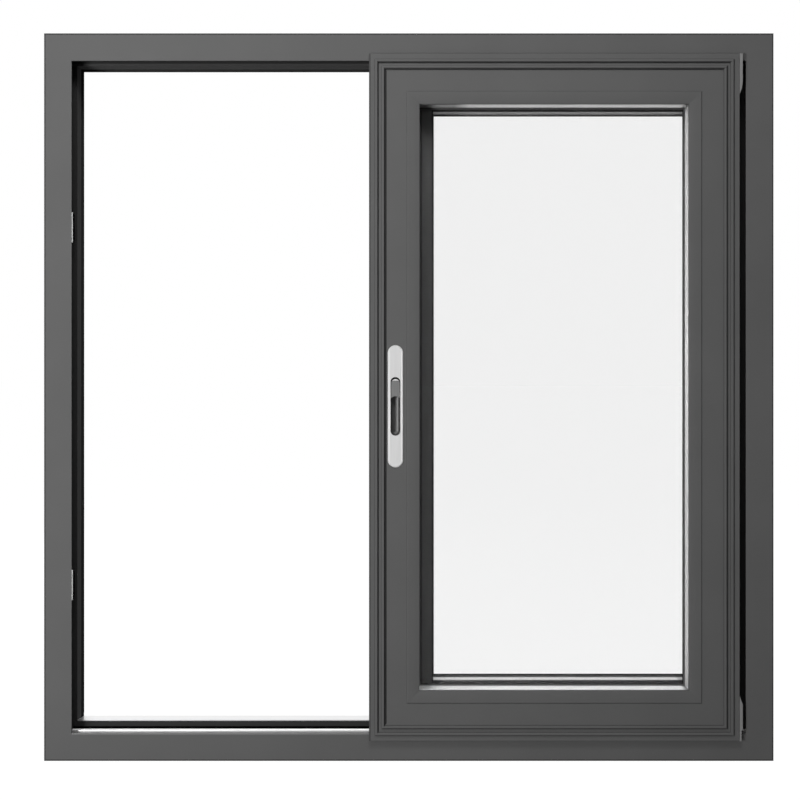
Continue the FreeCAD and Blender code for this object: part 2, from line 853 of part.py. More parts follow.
def check_document():
    """Stop if any object failed to compute or any sub-part has no sound shape."""
    doc.recompute()
    for item in doc.Objects:
        if "Invalid" in item.State or "Error" in item.State:
            raise RuntimeError("%s is in state %s" % (item.Name, item.State))
    for item in sub_parts():
        if item.Shape.isNull() or not item.Shape.isValid() or not item.Shape.Solids:
            raise RuntimeError("%s has no sound shape" % item.Label)


def sub_parts():
    """Bodies and the plain pieces that are not a tool of a cut."""
    tools = set()
    for item in doc.Objects:
        if item.TypeId == "Part::Cut":
            tools.update((item.Base.Name, item.Tool.Name))
    kinds = ("PartDesign::Body", "Part::Box", "Part::Cut")
    return [item for item in doc.Objects if item.TypeId in kinds and item.Name not in tools]


def write_parts():
    os.makedirs("parts", exist_ok=True)
    for item in sub_parts():
        item.Shape.exportStep("parts/%s.step" % item.Label)


fill_sheet()
frame_members()
track()
keepers()
fixed_light()
sash_members()
lock()
seals()
end_blocks()
rollers()
guide_shoes()
check_document()
write_parts()
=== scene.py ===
# %% [markdown]
# # A horizontal sliding window
#
# The window is an outer frame of four mitred aluminium members, a fixed light at the back
# and a sliding sash in front of it, here pushed fully open to the right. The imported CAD
# model already has every profile, pane and fitting at its real size, so this file gives
# each of them a finish, adds the small things that a drawing leaves out, and sets up a
# plain white studio.

# %% Load the frame
import math

import bmesh
import bpy
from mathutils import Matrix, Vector


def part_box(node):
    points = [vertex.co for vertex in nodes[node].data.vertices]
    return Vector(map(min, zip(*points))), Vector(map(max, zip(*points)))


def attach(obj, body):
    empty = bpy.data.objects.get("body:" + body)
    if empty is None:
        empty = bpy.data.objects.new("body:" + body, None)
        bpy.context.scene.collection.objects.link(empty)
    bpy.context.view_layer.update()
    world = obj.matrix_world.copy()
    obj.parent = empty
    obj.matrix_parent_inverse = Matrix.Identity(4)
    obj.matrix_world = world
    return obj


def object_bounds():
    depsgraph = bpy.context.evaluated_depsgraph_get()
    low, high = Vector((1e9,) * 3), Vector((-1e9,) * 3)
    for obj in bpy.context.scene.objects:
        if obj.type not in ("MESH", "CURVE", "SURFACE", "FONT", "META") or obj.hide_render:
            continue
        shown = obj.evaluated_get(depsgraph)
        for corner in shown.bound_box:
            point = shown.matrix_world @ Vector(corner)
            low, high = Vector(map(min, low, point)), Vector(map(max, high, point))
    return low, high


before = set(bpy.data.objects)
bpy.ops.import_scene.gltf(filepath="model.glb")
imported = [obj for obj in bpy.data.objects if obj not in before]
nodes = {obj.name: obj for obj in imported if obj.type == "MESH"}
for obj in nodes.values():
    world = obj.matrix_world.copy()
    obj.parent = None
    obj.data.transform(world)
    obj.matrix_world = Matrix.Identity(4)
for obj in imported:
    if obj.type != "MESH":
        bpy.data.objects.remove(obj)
cad_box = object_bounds()
BODY = "root"
MM = 0.001
print("pieces from the frame:", len(nodes))

# %% [markdown]
# ## Finishes
#
# Most of what shows is one finish: dark grey powder coat on aluminium. Under a lens it is
# not flat. It has a fine orange-peel skin, and its tone wanders a little along a profile.
# Both come from noise on Object coordinates, so the grain stays the same size on a short
# bead and on a long jamb. The helpers below build such a material in a few lines, and the
# constants go straight on the shader's own sockets. An owner is a material or the world:
# both carry a node tree, so the same helpers serve both.


# %% Node helpers
def node(owner, kind, **settings):
    """Add one node and set its sockets or properties by name."""
    made = owner.node_tree.nodes.new(kind)
    for key, value in settings.items():
        if key in made.inputs:
            made.inputs[key].default_value = value
        else:
            setattr(made, key, value)
    return made


def link(owner, source, target):
    owner.node_tree.links.new(source, target)


def combine(owner, operation, first, second):
    """A Math node on two values, each a socket or a plain number."""
    both = node(owner, "ShaderNodeMath", operation=operation)
    for socket, source in zip(both.inputs, (first, second)):
        if isinstance(source, (int, float)):
            socket.default_value = source
        else:
            link(owner, source, socket)
    return both.outputs[0]


def map_range(owner, value, low, high, to_low, to_high):
    """Carry a value from one range to another, and hold it there at both ends."""
    spread = node(owner, "ShaderNodeMapRange")
    for name, number in zip(
        ("From Min", "From Max", "To Min", "To Max"), (low, high, to_low, to_high)
    ):
        spread.inputs[name].default_value = number
    link(owner, value, spread.inputs["Value"])
    return spread.outputs["Result"]


def between(owner, value, low, high):
    """1 where a value lies between two limits, 0 elsewhere."""
    above = combine(owner, "GREATER_THAN", value, low)
    below = combine(owner, "LESS_THAN", value, high)
    return combine(owner, "MULTIPLY", above, below)


# %% Material helpers
def grey(value):
    return (value, value, value)


def shader_of(material):
    return material.node_tree.nodes["Principled BSDF"]


def new_material(name, color, roughness, metallic=0.0, specular=0.5):
    """A Principled material with plain values, ready to have patterns plugged in."""
    material = bpy.data.materials.new(name)
    material.use_nodes = True
    shader = shader_of(material)
    shader.inputs["Base Color"].default_value = (*color, 1.0)
    shader.inputs["Roughness"].default_value = roughness
    shader.inputs["Metallic"].default_value = metallic
    shader.inputs["Specular IOR Level"].default_value = specular
    return material


def object_axes(material):
    """X, Y and Z of the point on the piece, in metres."""
    place = node(material, "ShaderNodeTexCoord")
    axes = node(material, "ShaderNodeSeparateXYZ")
    link(material, place.outputs["Object"], axes.inputs["Vector"])
    return axes.outputs["X"], axes.outputs["Y"], axes.outputs["Z"]


def object_noise(material, scale, stretch=(1.0, 1.0, 1.0), detail=3.0):
    """Noise in the piece's own metres, optionally drawn out along an axis."""
    place = node(material, "ShaderNodeTexCoord")
    mapping = node(material, "ShaderNodeMapping")
    mapping.inputs["Scale"].default_value = stretch
    noise = node(material, "ShaderNodeTexNoise")
    noise.inputs["Scale"].default_value = scale
    noise.inputs["Detail"].default_value = detail
    link(material, place.outputs["Object"], mapping.inputs["Vector"])
    link(material, mapping.outputs["Vector"], noise.inputs["Vector"])
    return noise.outputs["Fac"]


# noise keeps near its middle, so only this part of it is spread over the two tones
NOISE_LOW = 0.3
NOISE_HIGH = 0.7


def vary_color(material, pattern, dark, light):
    """Base colour between two tones, following a pattern."""
    ramp = node(material, "ShaderNodeValToRGB")
    for stop, position, color in zip(
        ramp.color_ramp.elements, (NOISE_LOW, NOISE_HIGH), (dark, light)
    ):
        stop.position = position
        stop.color = (*color, 1.0)
    link(material, pattern, ramp.inputs["Fac"])
    link(material, ramp.outputs["Color"], shader_of(material).inputs["Base Color"])


def vary_roughness(material, pattern, low, high):
    """Roughness between two values, following a pattern."""
    spread = map_range(material, pattern, 0.0, 1.0, low, high)
    link(material, spread, shader_of(material).inputs["Roughness"])


def add_bump(material, pattern, height, strength):
    """Surface relief of a given height in metres."""
    bump = node(material, "ShaderNodeBump")
    bump.inputs["Distance"].default_value = height
    bump.inputs["Strength"].default_value = strength
    link(material, pattern, bump.inputs["Height"])
    link(material, bump.outputs["Normal"], shader_of(material).inputs["Normal"])


def scale_color(material, share):
    """Multiply whatever feeds the base colour by a share, which is over 1 to lighten it."""
    base = shader_of(material).inputs["Base Color"]
    before = base.links[0].from_socket
    scale = node(material, "ShaderNodeVectorMath", operation="SCALE")
    link(material, before, scale.inputs[0])
    link(material, share, scale.inputs["Scale"])
    link(material, scale.outputs[0], base)


def tone_where(material, mask, tone):
    """Multiply the base colour by a tone where a mask is 1."""
    scale_color(material, map_range(material, mask, 0.0, 1.0, 1.0, tone))


# %% [markdown]
# ## Powder coat
#
# The frame, the sash and its beads share one tone. The fixed light stands deeper in shade,
# and that shade is painted in: its members are a little darker and its beads darker still.
# Each group has its own material, because its grooves get their own painted shade. They
# are darkened by ambient occlusion on the surface itself, which finds them from every side.

# %% Powder coat
CLOUD_SCALE = 9.0
PEEL_SCALE = 1500.0
PEEL_HEIGHT = 0.04 * MM
CLOSED_IN = 0.35
OPEN_AIR = 0.85


def powder_coat(name, tone):
    material = new_material(name, grey(tone), 0.5, specular=0.0)
    cloud = object_noise(material, CLOUD_SCALE, detail=2.0)
    vary_color(material, cloud, grey(tone * 0.97), grey(tone * 1.03))
    peel = object_noise(material, PEEL_SCALE)
    vary_roughness(material, peel, 0.46, 0.58)
    add_bump(material, peel, PEEL_HEIGHT, 0.5)
    return material


def painted_groove_shade(material, reach, darkest, own_piece_only=True):
    """Painted shade: darker paint in grooves and recesses, found by ambient occlusion."""
    hollow = node(material, "ShaderNodeAmbientOcclusion", samples=8)
    hollow.only_local = own_piece_only
    hollow.inputs["Distance"].default_value = reach
    share = map_range(material, hollow.outputs["AO"], CLOSED_IN, OPEN_AIR, darkest, 1.0)
    scale_color(material, share)


FACE_TONE = 0.108
FRAME_PAINT = powder_coat("frame_powder_coat", FACE_TONE)
SASH_RAIL_PAINT = powder_coat("sash_rail_powder_coat", FACE_TONE)
SASH_STILE_PAINT = powder_coat("sash_stile_powder_coat", FACE_TONE)
BEAD_PAINT = powder_coat("bead_powder_coat", FACE_TONE)
# the fixed light and its beads stand in shade, which is painted in as a darker tone
LIGHT_PAINT = powder_coat("fixed_light_powder_coat", 0.1)
LIGHT_BEAD_PAINT = powder_coat("fixed_bead_powder_coat", 0.065)
# the step of the sill gets a tone of about a third of the faces
STEP_PAINT = powder_coat("sill_step_near_black", 0.034)
# painted shade in the grooves and recesses of each paint
painted_groove_shade(SASH_RAIL_PAINT, 3.0 * MM, 0.6)
painted_groove_shade(SASH_STILE_PAINT, 3.0 * MM, 0.6)
painted_groove_shade(BEAD_PAINT, 3.0 * MM, 0.15, own_piece_only=False)
painted_groove_shade(LIGHT_BEAD_PAINT, 10.0 * MM, 0.2, own_piece_only=False)
painted_groove_shade(FRAME_PAINT, 12.0 * MM, 0.4)
print("powder coats:", len(bpy.data.materials))

# %% [markdown]
# The rounded outer edges of the frame turn away from the light and read darker, and that
# shade is painted in, in a band of under 3 mm along the front edge. The band is found from
# the place on the frame: far out sideways, at the very top or at the very bottom, and within
# 2 mm of the front face.

# %% Painted shade along the outer front edges
EDGE_BAND = 2.7 * MM
EDGE_DEPTH = 2.0 * MM
EDGE_SHADE_TONE = 0.5
FACE_Y = -45.0 * MM
(left_x, _, sill_z), (right_x, back_y, head_z) = cad_box
frame_x, frame_y, frame_z = object_axes(FRAME_PAINT)

outer = combine(
    FRAME_PAINT, "MAXIMUM",
    combine(FRAME_PAINT, "LESS_THAN", frame_x, left_x + EDGE_BAND),
    combine(FRAME_PAINT, "GREATER_THAN", frame_x, right_x - EDGE_BAND),
)
ends = combine(
    FRAME_PAINT, "MAXIMUM",
    combine(FRAME_PAINT, "LESS_THAN", frame_z, sill_z + EDGE_BAND),
    combine(FRAME_PAINT, "GREATER_THAN", frame_z, head_z - EDGE_BAND),
)
around = combine(FRAME_PAINT, "MAXIMUM", outer, ends)
near_front = combine(FRAME_PAINT, "LESS_THAN", frame_y, FACE_Y + EDGE_DEPTH)
band = combine(FRAME_PAINT, "MULTIPLY", around, near_front)
# painted shade along the outer front edges
tone_where(FRAME_PAINT, band, EDGE_SHADE_TONE)
print("window from", round(left_x, 4), "to", round(right_x, 4), "m")

# %% [markdown]
# The sash's track, in front of the ridge that parts the two tracks, lies in shade, and so
# does the rear edge of the reveal: both get painted shade, a darker coat. The test for being
# inside uses limits between the outer faces and the opening, so the front and rear faces of
# the frame keep their full tone. Each place has the share of its tone that it loses, and the
# larger loss wins.

# %% Painted shade in the track and along the rear edge
TRACK_X = 575.0 * MM
TRACK_BOTTOM = 30.0 * MM
TRACK_TOP = 1170.0 * MM
FRONT_SKIN = 1.3 * MM
REAR_SKIN = 0.4 * MM
RIDGE_Y = -4.5 * MM
HEAD_RIDGE_Z = 1151.5 * MM
HEAD_EDGE_BELOW = 1.0 * MM
HEAD_EDGE_ABOVE = 3.3 * MM
TRACK_SHADE_TONE = 0.3
HEAD_EDGE_SHADE_TONE = 0.52
REVEAL_SHADE_TONE = 0.95
REAR_EDGE_SHADE_TONE = 0.28
REAR_FADE_START = 29.0 * MM
REAR_FADE_END = 38.0 * MM
in_opening = combine(
    FRAME_PAINT, "MULTIPLY",
    between(FRAME_PAINT, frame_x, -TRACK_X, TRACK_X),
    between(FRAME_PAINT, frame_z, TRACK_BOTTOM, TRACK_TOP),
)
in_track = combine(
    FRAME_PAINT, "MULTIPLY",
    in_opening, between(FRAME_PAINT, frame_y, FACE_Y + FRONT_SKIN, -FACE_Y - REAR_SKIN),
)
before_ridge = combine(FRAME_PAINT, "LESS_THAN", frame_y, RIDGE_Y)
head_edge = between(
    FRAME_PAINT, frame_z, HEAD_RIDGE_Z - HEAD_EDGE_BELOW, HEAD_RIDGE_Z + HEAD_EDGE_ABOVE
)
lost_in_track = map_range(
    FRAME_PAINT, head_edge, 0.0, 1.0, 1.0 - TRACK_SHADE_TONE, 1.0 - HEAD_EDGE_SHADE_TONE
)
lost_in_front = combine(FRAME_PAINT, "MULTIPLY", before_ridge, lost_in_track)
lost_at_rear = map_range(
    FRAME_PAINT, frame_y, REAR_FADE_START, REAR_FADE_END, 1.0 - REVEAL_SHADE_TONE, 1.0 - REAR_EDGE_SHADE_TONE
)
lost_tone = combine(FRAME_PAINT, "MAXIMUM", lost_in_front, lost_at_rear)
track_loss = combine(FRAME_PAINT, "MULTIPLY", in_track, lost_tone)
# painted shade in the track, along the head ridge and at the rear edge of the reveal
tone_where(FRAME_PAINT, track_loss, 0.0)
print("painted track shade from", round(FACE_Y + FRONT_SKIN, 4), "to", RIDGE_Y, "m")

# %% [markdown]
# The front edge of the sill in the open bay catches light from above, and gets a painted
# highlight. The sill's edge is as high as the frame's face is wide. A lighter tone on a strip
# of under 2 mm is enough, because the strip is only a pixel high from where the window is
# usually seen.

# %% Painted highlight on the sill edge
FACE_WIDTH = 45.5 * MM
BAY_END = -66.0 * MM
HIGHLIGHT_BELOW = 1.4 * MM
HIGHLIGHT_ABOVE = 0.2 * MM
HIGHLIGHT_PROUD = 1.0 * MM
SILL_HIGHLIGHT_TONE = 2.2
on_sill_edge = combine(
    FRAME_PAINT, "MULTIPLY",
    between(FRAME_PAINT, frame_z, FACE_WIDTH - HIGHLIGHT_BELOW, FACE_WIDTH + HIGHLIGHT_ABOVE),
    between(FRAME_PAINT, frame_y, FACE_Y - HIGHLIGHT_PROUD, FACE_Y + EDGE_DEPTH),
)
in_bay = between(FRAME_PAINT, frame_x, left_x + FACE_WIDTH, BAY_END)
sill_highlight = combine(FRAME_PAINT, "MULTIPLY", on_sill_edge, in_bay)
# painted highlight where the sill's front edge catches the light
tone_where(FRAME_PAINT, sill_highlight, SILL_HIGHLIGHT_TONE)
print("rubbed edge from", round(left_x + FACE_WIDTH, 4), "to", BAY_END, "m")

# %% [markdown]
# The sash's flange carries two low ridges. Light from the upper left throws a shadow along
# their lee side, right of a ridge on the stiles and below it on the rails, and that shadow is
# painted in as a dark line a few millimetres wide. The lines are placed from the sash's own
# edges. Stiles and rails have a paint each, because their lines run different ways and stop
# at the mitres. The leading edge of the sash gets painted shade like the outside of the frame.

# %% Painted shade on the leading edge and painted ridge shadows of the sash
OUTER_RIDGE = 9.7 * MM
INNER_RIDGE = 20.7 * MM
LEADING_SHADE_TONE = 0.62
SASH_FRONT_Y = -53.5 * MM
sash_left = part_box("sash_left_stile")[0][0]
sash_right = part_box("sash_right_stile")[1][0]
sash_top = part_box("sash_top_rail")[1][2]
sash_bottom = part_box("sash_bottom_rail")[0][2]

# where a painted shadow line starts, its width and its tone
STILE_SHADOW_LINES = (
    (sash_left + OUTER_RIDGE + 3.6 * MM, 2.7 * MM, 0.5),
    (sash_left + INNER_RIDGE + 3.6 * MM, 4.7 * MM, 0.35),
    (sash_right - INNER_RIDGE - 1.8 * MM, 3.6 * MM, 0.5),
    (sash_right - OUTER_RIDGE - 1.4 * MM, 2.7 * MM, 0.6),
)
RAIL_SHADOW_LINES = (
    (sash_top - OUTER_RIDGE - 6.5 * MM, 3.1 * MM, 0.5),
    (sash_top - INNER_RIDGE - 6.3 * MM, 3.3 * MM, 0.45),
    (sash_bottom + INNER_RIDGE - 1.0 * MM, 3.0 * MM, 0.6),
    (sash_bottom + OUTER_RIDGE - 1.5 * MM, 3.1 * MM, 0.8),
)

# painted shade on the leading edge and painted shadows beside the ridges
for paint, along, lines in ((SASH_STILE_PAINT, 0, STILE_SHADOW_LINES), (SASH_RAIL_PAINT, 2, RAIL_SHADOW_LINES)):
    axes = object_axes(paint)
    in_front = combine(paint, "LESS_THAN", axes[1], SASH_FRONT_Y)
    leading = between(paint, axes[0], sash_left - EDGE_BAND, sash_left + EDGE_BAND)
    tone_where(paint, combine(paint, "MULTIPLY", leading, in_front), LEADING_SHADE_TONE)
    for start, width, tone in lines:
        line = between(paint, axes[along], start, start + width)
        tone_where(paint, combine(paint, "MULTIPLY", line, in_front), tone)
print("painted ridge shadows:", len(STILE_SHADOW_LINES) + len(RAIL_SHADOW_LINES))

# %% [markdown]
# ## Metals
#
# The lock plate is satin anodised aluminium, drawn upwards, so its grain is noise that is
# stretched along its height. The rail and the step cover are bright stainless strip, with
# the grain along the track. The spacer bars between the panes are rolled aluminium. Most
# are only partly metallic, because a satin skin scatters some light like paint.

# %% Brushed and cast metals
GRAIN_ACROSS = 900.0
GRAIN_ALONG = 12.0
GRAIN_HEIGHT = 0.02 * MM


def brushed_metal(name, tone, roughness, along, spread=0.06, metallic=1.0):
    material = new_material(name, grey(tone), roughness, metallic)
    stretch = [GRAIN_ACROSS, GRAIN_ACROSS, GRAIN_ACROSS]
    stretch["xyz".index(along)] = GRAIN_ALONG
    grain = object_noise(material, 1.0, stretch, detail=4.0)
    vary_color(material, grain, grey(tone * (1 - spread)), grey(min(1.0, tone * (1 + spread))))
    vary_roughness(material, grain, roughness * 0.8, roughness * 1.2)
    add_bump(material, grain, GRAIN_HEIGHT, 0.4)
    return material


PLATE_SILVER = brushed_metal("lock_plate_silver", 0.89, 0.32, "z", 0.03, metallic=0.4)
CUP_METAL = brushed_metal("lock_cup_dark_metal", 0.12, 0.5, "z", 0.05, metallic=0.7)
SLIDER_METAL = brushed_metal("thumb_slider_grey", 0.25, 0.34, "z", 0.04, metallic=0.5)
KEEPER_ZINC = brushed_metal("keeper_zinc", 0.2, 0.42, "z", 0.06, metallic=0.7)
RAIL_STEEL = brushed_metal("rail_stainless_strip", 0.96, 0.4, "x", 0.03, metallic=0.6)
COVER_STEEL = brushed_metal("step_cover_bright", 0.9, 0.3, "x", 0.03, metallic=0.8)
SPACER_METAL = brushed_metal("sash_spacer_bar", 0.76, 0.5, "z", 0.03)
FIXED_SPACER_METAL = brushed_metal("fixed_spacer_bar", 0.7, 0.5, "z", 0.03)
print("last metal:", FIXED_SPACER_METAL.name)

# %% [markdown]
# The lower run of a spacer faces up to the light and gets a painted highlight, a lighter
# tone. The upper run gets painted shade, most of all in its left corner, and so does the
# right run. The bar of the fixed light, deeper in shade, is painted a little darker. All of
# it is tone by place, faded and not cut off.

# %% Painted light and shade on the spacer bars
LOWER_RUN_Z = 0.13
UPPER_RUN_Z = 1.05
LOWER_TONE = 1.15
RIGHT_RUN_X = 0.452
LEFT_CORNER_X = 0.075
# painted highlight on the lower run, painted shade on the upper run, its left corner and the right
# run
for spacer, upper_tone, corner_tone, right_tone in (
    (SPACER_METAL, 0.85, 0.3, 0.34), (FIXED_SPACER_METAL, 0.22, 0.5, 0.62)
):
    across, _, height = object_axes(spacer)
    scale_color(spacer, map_range(spacer, height, LOWER_RUN_Z, UPPER_RUN_Z, LOWER_TONE, upper_tone))
    right_run = map_range(spacer, across, RIGHT_RUN_X, RIGHT_RUN_X + 5.0 * MM, 0.0, 1.0)
    tone_where(spacer, right_run, right_tone)
    upper_run = map_range(spacer, height, UPPER_RUN_Z, UPPER_RUN_Z + 10.0 * MM, 0.0, 1.0)
    corner = map_range(spacer, across, LEFT_CORNER_X, LEFT_CORNER_X + 25.0 * MM, 1.0, 0.0)
    tone_where(spacer, combine(spacer, "MULTIPLY", upper_run, corner), corner_tone)
print("spacer bars:", SPACER_METAL.name, FIXED_SPACER_METAL.name)

# %% [markdown]
# Only the front lip of a keeper shows its zinc. What lies deeper is in shade, and that shade
# is painted in: there the tone falls to a tenth and the metal fades out, and no bright streak
# shows where the eye skims along its side.

# %% Painted shade on the keepers
LIP_FRONT = -44.2 * MM
LIP_BACK = -43.6 * MM
KEEPER_SHADE_TONE = 0.1
_, keeper_depth, _ = object_axes(KEEPER_ZINC)
keeper_shader = shader_of(KEEPER_ZINC)
bare_zinc = keeper_shader.inputs["Metallic"].default_value
# painted shade on all of the keeper behind its front lip
scale_color(
    KEEPER_ZINC, map_range(KEEPER_ZINC, keeper_depth, LIP_FRONT, LIP_BACK, 1.0, KEEPER_SHADE_TONE)
)
metal_share = map_range(KEEPER_ZINC, keeper_depth, LIP_FRONT, LIP_BACK, bare_zinc, 0.0)
link(KEEPER_ZINC, metal_share, keeper_shader.inputs["Metallic"])
keeper_shader.inputs["Specular IOR Level"].default_value = 0.0
print("bare zinc ends at", LIP_BACK, "m")

# %% [markdown]
# The border of the lock plate is a bevel, and a painted highlight makes it a little lighter
# than the satin middle. The thumb slider's top edge gets a strong painted highlight. Both
# follow the piece's own box, so they stay right when the lock moves along the stile.

# %% Painted highlights on the edges of the lock
BORDER_START = 8.5 * MM
BORDER_END = 10.0 * MM
SATIN_TONE = 0.92
BEVEL_HIGHLIGHT_TONE = 1.12
RIM_START = 2.6 * MM
RIM_END = 2.0 * MM
RIM_HIGHLIGHT_TONE = 3.8
plate_low, plate_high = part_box("lock_plate")
plate_middle = (plate_low[0] + plate_high[0]) / 2
off_centre = combine(PLATE_SILVER, "SUBTRACT", object_axes(PLATE_SILVER)[0], plate_middle)
from_middle = combine(PLATE_SILVER, "ABSOLUTE", off_centre, 0.0)
border = map_range(PLATE_SILVER, from_middle, BORDER_START, BORDER_END, SATIN_TONE, BEVEL_HIGHLIGHT_TONE)
# painted highlight on the plate's bevelled border
scale_color(PLATE_SILVER, border)

slider_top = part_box("thumb_slider")[1][2]
slider_z = object_axes(SLIDER_METAL)[2]
rim = map_range(SLIDER_METAL, slider_z, slider_top - RIM_START, slider_top - RIM_END, 1.0, RIM_HIGHLIGHT_TONE)
# painted highlight on the slider's top edge
scale_color(SLIDER_METAL, rim)
print("lock plate centred on", round(plate_middle, 4), "m")

# %% [markdown]
# ## Rubber and plastics
#
# Rubber is nearly black and rough, and the moulded end blocks are a slightly lighter grey
# than the paint. A moulded skin is a fine noise with a shallow bump, and a grain of about
# a millimetre. The rubber in the track is painted blacker still, as painted shade, because
# hardly any light that falls into the channel comes out again.

# %% Rubber and plastics
SKIN_SCALE = 900.0
SKIN_HEIGHT = 0.05 * MM


def moulded(name, tone, roughness, specular=0.4):
    material = new_material(name, grey(tone), roughness, specular=specular)
    skin = object_noise(material, SKIN_SCALE)
    vary_color(material, skin, grey(tone * 0.92), grey(tone * 1.08))
    add_bump(material, skin, SKIN_HEIGHT, 0.4)
    return material


RUBBER = moulded("glazing_rubber", 0.008, 0.7, 0.04)
# painted shade: a tone blacker than rubber
TRACK_RUBBER = moulded("track_rubber", 0.002, 0.9, 0.0)
END_BLOCK_PLASTIC = moulded("end_block_plastic", 0.2, 0.5)
NYLON = moulded("roller_nylon", 0.7, 0.35)
BLACK_PLASTIC = moulded("carriage_plastic", 0.01, 0.6, 0.1)
print("materials so far:", len(bpy.data.materials))

# %% [markdown]
# ## Glass
#
# Four panes of clear float stand one behind the other. Each is a real 4 mm box, so the
# shader is plain transmission with a faint grey tint that builds up from pane to pane. The
# index of refraction is a little under that of real glass, so the panes mirror and bend
# less. A path tracer finds no lamp through a refracting pane, so the panes throw no shadow:
# the lamps then reach the spacers and the fixed light behind the sash, as they do in life.

# %% Clear float glass
GLASS = new_material("clear_float_glass", grey(0.995), 0.0)
shader_of(GLASS).inputs["Transmission Weight"].default_value = 1.0
shader_of(GLASS).inputs["IOR"].default_value = 1.3
float_wave = object_noise(GLASS, 5.0, detail=1.0)
add_bump(GLASS, float_wave, 0.02 * MM, 0.2)
for name, piece in nodes.items():
    if name.endswith("_pane"):
        piece.visible_shadow = False
        print("clear pane:", name)

# %% [markdown]
# ## Dress the CAD nodes
#
# Every node is named in a maker's plain words, so a part of its name is enough to choose a
# finish. The table is read from the top, and the first key that fits wins: narrow names
# stand above wide ones, and the last row catches the members of the frame.

# %% Dress the CAD nodes
FINISHES = {
    "_pane": GLASS,
    "fixed_spacer": FIXED_SPACER_METAL,
    "_spacer": SPACER_METAL,
    "_gasket": RUBBER,
    "_seal": RUBBER,
    "_brush": RUBBER,
    "lock_plate": PLATE_SILVER,
    "lock_cup": CUP_METAL,
    "thumb_slider": SLIDER_METAL,
    "_keeper": KEEPER_ZINC,
    "front_rail": RAIL_STEEL,
    "sill_step_cover": COVER_STEEL,
    "end_block": END_BLOCK_PLASTIC,
    "_roller": NYLON,
    "_carriage": BLACK_PLASTIC,
    "guide_shoes": BLACK_PLASTIC,
    "sill_step": STEP_PAINT,
    "fixed_left_bead": LIGHT_BEAD_PAINT,
    "fixed_right_bead": LIGHT_BEAD_PAINT,
    "fixed_top_bead": LIGHT_BEAD_PAINT,
    "fixed_bottom_bead": LIGHT_BEAD_PAINT,
    "fixed_": LIGHT_PAINT,
    "_bead": BEAD_PAINT,
    "sash_left_stile": SASH_STILE_PAINT,
    "sash_right_stile": SASH_STILE_PAINT,
    "sash_": SASH_RAIL_PAINT,
    "": FRAME_PAINT,
}


def finish_of(name):
    """The first finish whose key is in the node's name."""
    for key, material in FINISHES.items():
        if key in name:
            return material


for name, piece in nodes.items():
    piece.data.materials.clear()
    piece.data.materials.append(finish_of(name))
print("dressed:", ", ".join(sorted({finish_of(n).name for n in nodes})))

# %% [markdown]
# ## Small pieces that the CAD model leaves out
#
# Seals, lips and covers are thin and never carry anything, so they are modelled here. Each
# starts from a cube or one flat face, and grows by bmesh operators: extrude, inset and a
# small bevel, because even a thin strip catches light along its edge. Points go in at
# their real place, so every object sits at the origin as the CAD nodes do.

# %% Mesh helpers
SHARP_ANGLE = 0.5


def finish_piece(name, mesh, material):
    """Turn a bmesh into an object in the scene that rides with the window."""
    bmesh.ops.recalc_face_normals(mesh, faces=mesh.faces)
    data = bpy.data.meshes.new(name)
    mesh.to_mesh(data)
    mesh.free()
    data.materials.append(material)
    piece = bpy.data.objects.new(name, data)
    bpy.context.scene.collection.objects.link(piece)
    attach(piece, BODY)
    print("made", name, "with", len(data.polygons), "faces")
    return piece


def bevel_sharp_edges(mesh, width, segments=2):
    """Bevel the edges whose two faces meet at more than half a radian."""
    sharp = [
        edge for edge in mesh.edges
        if len(edge.link_faces) == 2 and edge.calc_face_angle(0.0) > SHARP_ANGLE
    ]
    bmesh.ops.bevel(
        mesh, geom=sharp, offset=width, segments=segments, profile=0.5,
        affect="EDGES", offset_type="OFFSET", material=-1,
    )


def extrude_by(mesh, faces, offset):
    """Extrude a patch of faces and move what grew. The patch itself stays."""
    grown = bmesh.ops.extrude_face_region(mesh, geom=faces)
    moved = [part for part in grown["geom"] if isinstance(part, bmesh.types.BMVert)]
    bmesh.ops.translate(mesh, verts=moved, vec=offset)


def stretched_cube(low, high):
    """A bmesh cube between two opposite corners."""
    mesh = bmesh.new()
    bmesh.ops.create_cube(mesh, size=1.0)
    span = [far - near for near, far in zip(low, high)]
    middle = [(near + far) / 2 for near, far in zip(low, high)]
    bmesh.ops.scale(mesh, verts=mesh.verts, vec=span)
    bmesh.ops.translate(mesh, verts=mesh.verts, vec=middle)
    return mesh


# %% [markdown]
# Each sealed unit is closed by a bead of black butyl between the spacer and the panes. It
# shows as a thin dark line around the glass. Here it is a flat ring that lies on the inner
# face of the rear pane, and reaches from the spacer as far in as the rear glazing leg. A
# second ring, the lip of the glazing wedge, lines the edge of that leg behind the pane. A
# ring is one face, inset to a hole and extruded to its thickness.


# %% Butyl lines and wedge lips
def flat_ring(name, low, high, width, front, back, material):
    """A flat four-sided ring around an opening, from outer corners (x, z)."""
    mesh = bmesh.new()
    outline = ((low[0], low[1]), (high[0], low[1]), (high[0], high[1]), (low[0], high[1]))
    sheet = mesh.faces.new([mesh.verts.new((x, front, z)) for x, z in outline])
    bmesh.ops.inset_individual(mesh, faces=[sheet], thickness=width, use_even_offset=True)
    bmesh.ops.delete(mesh, geom=[sheet], context="FACES_ONLY")
    extrude_by(mesh, mesh.faces[:], (0.0, back - front, 0.0))
    return finish_piece(name, mesh, material)


